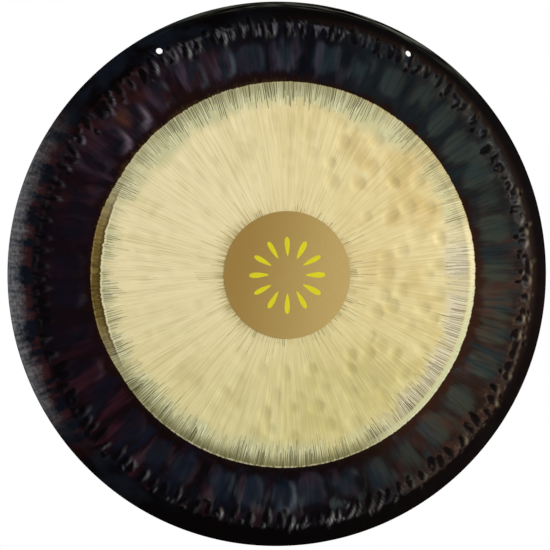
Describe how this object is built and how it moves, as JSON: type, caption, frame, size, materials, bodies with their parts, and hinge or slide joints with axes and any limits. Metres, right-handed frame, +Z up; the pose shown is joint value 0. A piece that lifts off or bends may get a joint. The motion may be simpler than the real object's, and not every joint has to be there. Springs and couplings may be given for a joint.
{
  "type": "gong",
  "caption": "Flat-faced hanging gong: a hammered bronze plate with a scraped playing field, dark dished border, slanted turned-back rim with cord holes, and lacquered centre.",
  "frame": {"origin": "middle of the bounding box, on the gong's axis, between the front of the roundel and the back edge of the rim", "axes": "+Z up as the gong hangs, with the cord holes at the top; +Y along the gong's axis, from the face towards the back; +X to the right of someone who looks at the face"},
  "size_m": [0.813, 0.0588, 0.813],
  "materials": {
    "plate_bronze": "scraped and brushed gold playing field, fire-darkened border and rim",
    "roundel_lacquer": "smooth satin brown-gold lacquer"
  },
  "bodies": {
    "root": {"gong_plate": "plate_bronze", "centre_roundel": "roundel_lacquer"}
  },
  "joints": []
}
